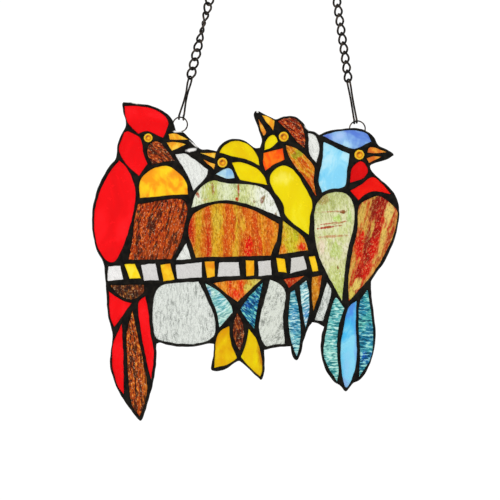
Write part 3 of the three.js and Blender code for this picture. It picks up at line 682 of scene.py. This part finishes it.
WING_MOSS = streaky("wing_moss", (0.5, -1, -20, 75, [
    (0.0, "#b4bc70"), (0.12, "#c8ce8c"), (0.25, "#dcdcae"), (0.38, "#cad288"), (0.5, "#e0dab8"),
    (0.62, "#d6d6a0"), (0.75, "#c6d07c"), (0.88, "#bccc68"), (1.0, "#c8d074")], 11), 8, [
        (62, 49, 10, 8, 20, "#a88a40", 0.7), (77.9, 39.2, 5, 2.6, 0, "#843c14", 1.0),
        (70, 39.5, 24, 1.3, 3, "#b48458", 0.9), (66, 27, 22, 1.8, 8, "#a83410", 1.0),
        (77, 31, 12, 1.3, 14, "#b46a38", 0.9), (67, 30, 20, 1.0, 8, "#b85628", 0.9),
        (68, 19.6, 24, 2.2, 4, "#c08c5a", 0.9), (73, 34, 7, 6, 0, "#b8d868", 0.9),
        (83, 36, 4, 10, 0, "#b0cc74", 0.8), (61, 12, 9, 14, 0, "#e4d0b4", 0.8),
        (74, -5.5, 2.4, 4, 0, "#8c5a20", 1.0), (72, 8, 10, 14, 0, "#b0c854", 0.7),
        (70, 45, 4, 9, 30, "#98a050", 0.6)],
    "#848446", "#fcfcf2", 0.5)
BREAST = streaky("breast_streaky", (1, -0.03, -46, 27, [
    (0.0, "#c02202"), (0.05, "#d04c04"), (0.11, "#d0a014"), (0.15, "#d2700a"), (0.21, "#c83402"),
    (0.28, "#d4a41c"), (0.34, "#dc9c14"), (0.4, "#c84002"), (0.46, "#d86406"), (0.52, "#d8a822"),
    (0.58, "#c84602"), (0.66, "#da6c06"), (0.74, "#cc3a02"), (0.8, "#e29614"), (0.86, "#d05a06"),
    (0.93, "#e08c10"), (1.0, "#d05a04")], 2.6), 4, [
        (2.5, 9, 6, 22, 0, "#e00600", 1.0), (-45, 20, 4, 28, 0, "#c01800", 0.9),
        (12, 12, 4, 18, 0, "#d62002", 0.8), (-22, 32, 7, 18, 0, "#d2b030", 0.8),
        (-29, 12, 4, 34, 0, "#c82c02", 0.9), (-2, 30, 5, 18, 0, "#e0aa26", 0.8),
        (-10, 26, 4, 26, 0, "#cc3802", 0.8), (20, 24, 6, 16, 0, "#dc6006", 0.7),
        (-38, 10, 5, 26, 0, "#cc8a10", 0.7)],
    "#702200", "#ffdc6c", 0.55)
FINCH_VENT = streaky("vent_streaky", (1, 0.1, -26, 10, [
    (0.0, "#dc6c0a"), (0.2, "#e68c14"), (0.33, "#dc3002"), (0.46, "#e68814"), (0.58, "#e01c00"),
    (0.68, "#dc9420"), (0.82, "#d0c044"), (1.0, "#e0d070")], 2.2), 0, [
        (-8, -26, 7, 10, 0, "#e81800", 0.9), (2, -21, 8, 5, 0, "#d8ca54", 0.9)])
SPARROW_BELLY = streaky("belly_streaky", (1, 0.1, 24, 54, [
    (0.0, "#e0860e"), (0.2, "#e2a41c"), (0.42, "#c8bc20"), (0.6, "#dabe28"), (0.75, "#de9614"),
    (1.0, "#de760e")], 4), 10, [
        (45, 12, 6, 8, 20, "#de2a02", 1.0), (28, 9, 9, 9, 0, "#e27606", 0.9),
        (40, 24, 5, 16, 10, "#b6b81a", 0.8)])
SPARROW_WING = streaky("wing_streaky", (0.8, 0.6, 68, 88, [
    (0.0, "#d0a414"), (0.16, "#d85c04"), (0.32, "#dca81a"), (0.46, "#c83802"), (0.6, "#e4a818"),
    (0.74, "#c84c02"), (0.88, "#e0a81c"), (1.0, "#d8720a")], 3.0), 40, [
        (42, 86, 12, 7, 40, "#a2a616", 0.9), (55, 64, 8, 12, 30, "#cc4602", 0.8),
        (48, 77, 4, 12, 40, "#cc4202", 0.8)])
FLANK = streaky("flank_streaky", (1, 0.15, 50, 62, [
    (0.0, "#c0740a"), (0.4, "#dc8e12"), (0.65, "#bc4402"), (1.0, "#d8780a")], 2), amount=0.5)
SPARROW_VENT = streaky("ruddy_vent", (1, 0, 28, 44, [
    (0.0, "#cc3400"), (0.5, "#b01c00"), (1.0, "#d85008")], 3), amount=0.45)
BODY = streaky("body_ruddy", (0.95, -0.3, 78, 116, [
    (0.0, "#c03408"), (0.13, "#d4ac48"), (0.24, "#c01402"), (0.34, "#900800"), (0.44, "#d2200a"),
    (0.52, "#dcb454"), (0.62, "#b81402"), (0.74, "#d8ae4c"), (0.86, "#b01402"),
    (1.0, "#dcb45c")], 4.0), -16, [
        (92.5, 37, 7, 24, -10, "#d4b450", 0.9), (103, 43, 7, 22, -16, "#8c0800", 0.95),
        (114, 38, 7, 22, -14, "#e4c870", 0.9), (101, 26, 4, 18, -16, "#d8b450", 0.8),
        (91, 12, 8, 28, -10, "#d41000", 1.0), (97, 16, 4, 26, -12, "#840600", 0.8),
        (103, 10, 8, 24, -16, "#cc0c00", 0.9),
        (110, 19, 4, 22, -16, "#dcba58", 0.9), (117, 22, 4, 22, -16, "#a81002", 0.9),
        (89, -19, 6, 12, -30, "#e2ca66", 0.95), (97, -8, 8, 16, -24, "#d01202", 0.9),
        (85, -27, 6, 12, 0, "#dcca58", 0.95), (106, -4, 5, 16, -26, "#d8963a", 0.7)],
    "#640c00", "#f4cc80", 0.5)
MINT = rippled("covert_mint", [(0.0, "#86c8c8"), (0.5, "#a8d8cc"), (1.0, "#c4e6da")], 25, [
    (-29.5, -25, 5, 8, 0, "#2f7fc0", 0.9), (-20, -30, 8, 6, 0, "#5fb4c8", 0.6)],
    "#2f7f88", "#eefaf2", 0.8, 0.65)
DEEP = rippled("covert_deep", [(0.0, "#166ea0"), (0.5, "#2a9a96"), (1.0, "#52b8a4")], -40, [
    (1, -36, 8, 9, 0, "#0844b0", 0.9), (9, -29, 7, 8, 0, "#1670b4", 0.7)], "#063058", "#8ae0cc", 0.8)
SEA = rippled("feather_sea", [(0.0, "#469cb8"), (0.5, "#60b2bc"), (1.0, "#88ccc8")], 0, [
    (39, -50, 8, 26, 0, "#4692c8", 0.7), (42, -70, 8, 14, 0, "#94d8d2", 0.8)], "#0a5a74", "#ccf0e8")
AQUA = rippled("feather_aqua", [(0.0, "#86c4d0"), (0.5, "#a8d8d8"), (1.0, "#c4e6de")], 30, [
    (49, -42, 8, 14, 0, "#5a98d8", 0.9)], "#357f98", "#eefaf4")
TEAL = rippled("feather_teal", [(0.0, "#58b0b4"), (0.5, "#74c4be"), (1.0, "#92d6ca")], 0, [
    (70, -84, 10, 22, 0, "#56aca8", 0.6)], "#126c74", "#ccf2e6")
LAGOON = rippled("feather_lagoon", [(0.0, "#2a88a8"), (0.5, "#38a0a8"), (1.0, "#54b6ac")], 0, [
    (95, -77, 12, 12, 0, "#0a54c0", 0.95), (99, -58, 8, 22, 0, "#2c86b4", 0.6)], "#04445e", "#a4e4d8")

# Glass of each pane: kind of relief, direction of its marks, material, slot
GLASSES = {
    "cardinal_crest": ("smooth", 0, RED, "red_glass"),
    "cardinal_cheek": ("smooth", 0, RED, "red_glass"),
    "cardinal_throat": ("granular", 50, THROAT, "brown_glass"),
    "cardinal_collar": ("smooth", 0, COLLAR, "amber_glass"),
    "cardinal_wing": ("smooth", 0, RED, "red_glass"),
    "cardinal_belly": ("granular", -14, BELLY, "brown_glass"),
    "cardinal_vent": ("granular", 10, VENT, "brown_glass"),
    "cardinal_tail_upper_left": ("smooth", 0, RED, "red_glass"),
    "cardinal_tail_right": ("smooth", 0, RED, "red_glass"),
    "cardinal_tail_lower_left": ("smooth", 0, RED, "red_glass"),
    "cardinal_tail_centre": ("granular", 6, PLUME, "brown_glass"),
    "clear_between_heads": ("hammered", 20, CLEAR_PALE, "clear_glass"),
    "clear_triangle": ("hammered", 0, CLEAR_PALE, "clear_glass"),
    "finch_crown": ("smooth", 0, YELLOW, "yellow_glass"),
    "finch_nape": ("smooth", 0, YELLOW, "yellow_glass"),
    "finch_throat": ("smooth", 0, THROAT_SKY, "sky_glass"),
    "finch_bib": ("granular", 4, BIB, "moss_glass"),
    "finch_breast": ("granular", 4, BREAST, "streaky_glass"),
    "finch_vent": ("granular", 0, FINCH_VENT, "streaky_glass"),
    "finch_covert_left": ("ripple", 25, MINT, "teal_glass"),
    "finch_covert_right": ("ripple", -40, DEEP, "teal_glass"),
    "finch_tail_centre": ("granular", 0, PLUME_DARK, "brown_glass"),
    "finch_tail_left": ("smooth", 0, GOLD_LEFT, "yellow_glass"),
    "finch_tail_right": ("smooth", 0, GOLD_RIGHT, "yellow_glass"),
    "sparrow_crown": ("granular", 55, CROWN, "brown_glass"),
    "sparrow_throat": ("smooth", 0, YELLOW, "yellow_glass"),
    "sparrow_collar": ("smooth", 0, FLAME, "flame_glass"),
    "sparrow_body": ("smooth", 0, LEMON, "yellow_glass"),
    "sparrow_wing": ("granular", 40, SPARROW_WING, "streaky_glass"),
    "sparrow_belly": ("granular", 10, SPARROW_BELLY, "streaky_glass"),
    "sparrow_flank": ("granular", 0, FLANK, "streaky_glass"),
    "sparrow_vent": ("granular", 0, SPARROW_VENT, "ruddy_glass"),
    "clear_behind_sparrow": ("hammered", 20, CLEAR_PALE, "clear_glass"),
    "bluebird_crown": ("smooth", 0, CROWN_VIOLET, "violet_glass"),
    "bluebird_nape": ("smooth", 0, NAPE_SKY, "sky_glass"),
    "bluebird_cheek": ("smooth", 0, RED_DEEP, "red_glass"),
    "bluebird_breast": ("smooth", 0, RED_WARM, "red_glass"),
    "bluebird_wing": ("granular", 8, WING_MOSS, "moss_glass"),
    "bluebird_body": ("granular", -16, BODY, "ruddy_glass"),
    "clear_under_left": ("hammered", 0, CLEAR, "clear_glass"),
    "clear_under_middle": ("hammered", -25, CLEAR_SLANT, "clear_glass"),
    "clear_under_right": ("hammered", -25, CLEAR, "clear_glass"),
}
# Panes that share a node, from left to right
GROUPS = {
    "cardinal_beak": [("smooth", 0, BEAK_GOLD, "orange_glass")] * 2,
    "finch_beak": [("smooth", 0, BEAK_GOLD, "orange_glass"), ("smooth", 0, BEAK_ORANGE, "orange_glass")],
    "sparrow_beak": [("smooth", 0, BEAK_ORANGE, "orange_glass"), ("smooth", 0, BEAK_GOLD, "orange_glass")],
    "bluebird_beak": [("smooth", 0, BEAK_TAN, "orange_glass")] * 2,
    "sparrow_tail": [("ripple", 0, SEA, "teal_glass"), ("ripple", 30, AQUA, "teal_glass")],
    "bluebird_tail": [("ripple", 0, TEAL, "teal_glass"), ("smooth", 0, TAIL_SKY, "sky_glass"),
                      ("ripple", 0, LAGOON, "teal_glass")],
    "perch_tiles": [("smooth", 0, glass, slot) for amber in TILE_AMBER
                    for glass, slot in ((TILE_CLEAR, "clear_glass"), (amber, "amber_glass"))],
}

for name, glass in GLASSES.items():
    pane(f"pane_{name}", front_loops(name)[0], *glass, name)
for name, glasses in GROUPS.items():
    loops = sorted(front_loops(name), key=lambda loop: np.mean(loop, axis=0)[0])
    for i, (loop, glass) in enumerate(zip(loops, glasses)):
        pane(f"pane_{name}_{i + 1}", loop, *glass, name)


# Eye jewels

JEWEL_SIDES = 40
JEWEL_RINGS = 9
JEWEL_DOME = 1.9


def jewel(name):
    """A round eye with a flat back and a domed front."""
    low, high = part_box(name)
    middle = ((low + high) / 2 - ZERO) / MM
    radius = (high.x - low.x) / 2 / MM + GLASS_UNDER_BEAD
    profile = [(0.0, GLASS_HALF), (radius, GLASS_HALF), (radius, -GLASS_HALF)]
    for i in range(1, JEWEL_RINGS):
        angle = math.pi / 2 * i / JEWEL_RINGS
        profile.append((radius * math.cos(angle) ** 0.8, -GLASS_HALF - JEWEL_DOME * math.sin(angle)))
    verts = [place(middle.x, GLASS_HALF, middle.z)]
    for r, y in profile[1:]:
        for k in range(JEWEL_SIDES):
            angle = 2 * math.pi * k / JEWEL_SIDES
            verts.append(place(middle.x + r * math.cos(angle), y, middle.z + r * math.sin(angle)))
    verts.append(place(middle.x, -GLASS_HALF - JEWEL_DOME, middle.z))
    faces = []
    rings = len(profile) - 1
    for k in range(JEWEL_SIDES):
        n = (k + 1) % JEWEL_SIDES
        faces.append((0, 1 + n, 1 + k))
        for j in range(rings - 1):
            a, b = 1 + j * JEWEL_SIDES, 1 + (j + 1) * JEWEL_SIDES
            faces.append((a + k, a + n, b + n, b + k))
        last = 1 + (rings - 1) * JEWEL_SIDES
        faces.append((last + k, last + n, len(verts) - 1))
    amber = jewel_amber(f"{name}_amber", middle.x, middle.z, radius)
    piece = new_object(f"jewel_{name}", verts, faces, amber)
    finish_piece(piece, name)


for bird in ("cardinal", "finch", "sparrow", "bluebird"):
    jewel(f"{bird}_eye")


# Solder beads

def hand_laid(loop):
    """The outline with a slight waver, as solder runs by hand."""
    shifts = []
    for x, z in loop * BEAD_WAVER_SCALE:
        shifts.append([noise.noise(Vector((x, z, seed))) for seed in BEAD_WAVER_SEEDS])
    return loop + BEAD_WAVER * np.array(shifts)


def bead_network():
    """All seams as one body, rounded towards the panes and the rim."""
    loops = [hand_laid(smooth_loop(loop)) for loop in front_loops("solder_network")]
    loops.sort(key=lambda loop: -np.ptp(loop[:, 0]))
    rim, windows = loops[0], loops[1:]
    grid = fill_points(rim.min(0), rim.max(0), BEAD_STEP)
    grid = grid[inside(grid, rim)]
    for window in windows:
        low, high = window.min(0), window.max(0)
        near = np.all((grid > low) & (grid < high), axis=1)
        drop = np.zeros(len(grid), bool)
        drop[near] = inside(grid[near], window)
        grid = grid[~drop]
    grid = grid[nearest(grid, loops) > BEAD_STEP * BEAD_GRID_GAP]

    def unevenness(xz, seed):
        return np.array([noise.noise(Vector((x, z, seed))) for x, z in xz])

    def swell(distance, reach):
        return np.sqrt(1 - (1 - np.minimum(distance / reach, 1)) ** 2)

    def surface(side):
        def at(xz):
            to_rim, to_window = nearest(xz, [rim]), nearest(xz, windows)
            lumps = unevenness(xz * BEAD_LUMP_SCALE, side * 5.0)
            ripple = unevenness(xz * BEAD_RIPPLE_SCALE, side * 3.0)
            over_rim = BEAD_RIM_EDGE + BEAD_RIM_RISE * swell(to_rim, BEAD_RIM_REACH)
            over_window = BEAD_WINDOW_EDGE + BEAD_WINDOW_RISE * swell(to_window, BEAD_WINDOW_REACH)
            rise = np.minimum(np.minimum(to_rim, to_window) / BEAD_WINDOW_REACH, 1)
            return np.minimum(over_rim, over_window) + rise * (BEAD_LUMP * lumps + BEAD_RIPPLE * ripple)
        return at
    piece = slab("solder_beads", loops, grid, surface(1), surface(2), solder_black())
    finish_piece(piece, "solder_network")


bead_network()


# Rings, hooks and chains

def arc_points(x, z, radius, start, end):
    """Centre line of an open ring from one angle to another."""
    angles = np.radians(np.linspace(start, end, RING_STEPS))
    return [(x + radius * math.cos(a), RING_Y, z + radius * math.sin(a)) for a in angles]


def smooth_path(points):
    """A smooth line through the points, with a few steps between two of them."""
    line = [np.array(p, float) for p in points]
    line = [2 * line[0] - line[1], *line, 2 * line[-1] - line[-2]]
    path = []
    for i in range(1, len(line) - 2):
        path += spline_between(*line[i - 1:i + 3], HOOK_STEPS)
    return [*path, line[-2]]


def fold_point(chain, angle):
    """A point of the fold at the hook's top, which holds the chain's lowest link."""
    x, z, _ = chain
    side = HOOK_TOP_SPREAD * math.cos(angle)
    return (x + side * math.cos(LINK_TWIST), HANG_Y + side * math.sin(LINK_TWIST),
            z + HOOK_TOP_RISE * math.sin(angle))


def hook_leg(side, ring, foot, chain):
    """Points of one leg from its bent-up tip behind the ring to just under the fold."""
    ring_x, ring_z, radius, _, _ = ring
    x = foot[0] + side * foot[1]
    z = ring_z + math.sqrt(radius ** 2 - (x - ring_x) ** 2)
    bend = [(x, RING_Y + HOOK_BEND * math.cos(a), z - HOOK_BEND * math.sin(a)) for a in HALF_TURN]
    top = np.array(fold_point(chain, 0 if side > 0 else math.pi))
    low = np.array(bend[-1])
    shank = [low + (top - low) * share for share in SHANK_SHARES]
    for point, pinch in zip(shank, (0.0, foot[2], foot[2], 0.0)):
        point[0] -= side * pinch
    return [(x, RING_Y + HOOK_BEND, z + HOOK_TIP), *bend, *shank]


def hook_tube(ring, foot, chain):
    """A wire folded double: up one leg, over the fold and down the other leg."""
    fold = [fold_point(chain, math.pi - a) for a in HALF_TURN]
    points = [*hook_leg(-1, ring, foot, chain), *fold, *reversed(hook_leg(1, ring, foot, chain))]
    return tube(smooth_path(points), HOOK_WIRE, WIRE_SIDES)


def link_points():
    """Centre line of a curb link about its own middle, standing upright and twisted."""
    points = []
    for a in np.linspace(0, 2 * math.pi, LINK_STEPS, endpoint=False):
        side = LINK_WIDTH / 2 * math.cos(a)
        turn = LINK_TWIST * math.sin(a)
        rise = LINK_LENGTH / 2 * math.sin(a) + LINK_SKEW * side
        points.append((side * math.cos(turn), side * math.sin(turn), rise))
    return points


def on_chain(chain, point, distance, turn=0.0):
    """A point given about a place on the chain, turned about the chain."""
    x, z, slope = chain
    lean = math.atan(slope)
    px, py, pz = point
    side = px * math.cos(turn) - py * math.sin(turn)
    depth = px * math.sin(turn) + py * math.cos(turn)
    along = pz + distance
    return (x + side * math.cos(lean) + along * math.sin(lean), HANG_Y + depth,
            z + along * math.cos(lean) - side * math.sin(lean))


def chain_tubes(chain, turns):
    """The links of one chain and the round ring at its end."""
    tubes = []
    for i in range(LINK_COUNT):
        turn = math.radians(turns[0] + turns[1] * max(0, i - 2))
        points = [on_chain(chain, p, FIRST_LINK + i * LINK_PITCH, turn) for p in link_points()]
        tubes.append(tube(points, LINK_WIRE, WIRE_SIDES, closed=True))
    ring = [(END_RING_RADIUS * math.cos(a), 0, END_RING_RADIUS * math.sin(a))
            for a in np.linspace(0, 2 * math.pi, END_RING_STEPS, endpoint=False)]
    points = [on_chain(chain, p, END_RING) for p in ring]
    tubes.append(tube(points, END_RING_WIRE, WIRE_SIDES, closed=True))
    return tubes


# The second colour of each wire is its painted highlight, laid on in random patches.
chain_metal = antique_wire("antique_wire", "#0c0a08", "#443a32")
ring_metal = antique_wire("ring_wire", "#221c18", "#73675c")
for side, (ring, foot, chain, turns) in SIDES.items():
    arc = tube(arc_points(*ring), RING_WIRE, RING_SIDES)
    finish_piece(wire_object(f"rim_ring_{side}", [arc], ring_metal), f"ring_{side}")
    hook = wire_object(f"wire_hook_{side}", [hook_tube(ring, foot, chain)], chain_metal)
    finish_piece(hook, f"hook_{side}")
    links = wire_object(f"curb_chain_{side}", chain_tubes(chain, turns), chain_metal)
    finish_piece(links, f"chain_{side}")


# Floor, light and camera

FLOOR_BELOW = 115.0
FLOOR_RADIUS = 340.0
FLOOR_SIDES = 96
SKY_STRENGTH = 1.05
KEY_PLACE = (-0.8, -1.0, 0.6)
KEY_SIZE = 1.0
KEY_POWER = 5.0


def studio():
    """White surroundings and a pale round floor below the hanging panel."""
    scene = bpy.context.scene
    world = bpy.data.worlds.new("studio")
    scene.world = world
    world.use_nodes = True
    world.node_tree.nodes["Background"].inputs["Color"].default_value = (1, 1, 1, 1)
    world.node_tree.nodes["Background"].inputs["Strength"].default_value = SKY_STRENGTH
    scene.view_settings.view_transform = "Standard"
    scene.view_settings.look = "None"
    lowest = (network_low - ZERO).z / MM
    mesh = bpy.data.meshes.new("floor")
    bm = bmesh.new()
    bmesh.ops.create_circle(bm, cap_ends=True, radius=FLOOR_RADIUS * MM, segments=FLOOR_SIDES)
    bm.to_mesh(mesh)
    bm.free()
    floor = bpy.data.objects.new("floor", mesh)
    floor.location = place(0, 0, lowest - FLOOR_BELOW)
    paint = Paint("floor_pale")
    mesh.materials.append(paint.done("#f1f0ee", 0.7))
    scene.collection.objects.link(floor)


def area_light(name, at, size, power):
    """A square soft light that faces the panel."""
    data = bpy.data.lights.new(name, "AREA")
    data.size = size
    data.energy = power
    lamp = bpy.data.objects.new(name, data)
    lamp.location = at
    lamp.rotation_euler = (place(0, 0, 0) - Vector(at)).to_track_quat("-Z", "Y").to_euler()
    bpy.context.scene.collection.objects.link(lamp)


def camera():
    """A level view from straight ahead that frames the panel as the photograph does."""
    data = bpy.data.cameras.new("camera")
    data.lens = LENS
    data.sensor_width = SENSOR
    eye = bpy.data.objects.new("camera", data)
    distance = PHOTO_WIDTH * LENS / SENSOR
    eye.location = place(PHOTO_MIDDLE[0], -distance, PHOTO_MIDDLE[1])
    eye.rotation_euler = (math.pi / 2, 0, 0)
    bpy.context.scene.collection.objects.link(eye)
    bpy.context.scene.camera = eye


studio()
area_light("key", KEY_PLACE, KEY_SIZE, KEY_POWER)
camera()
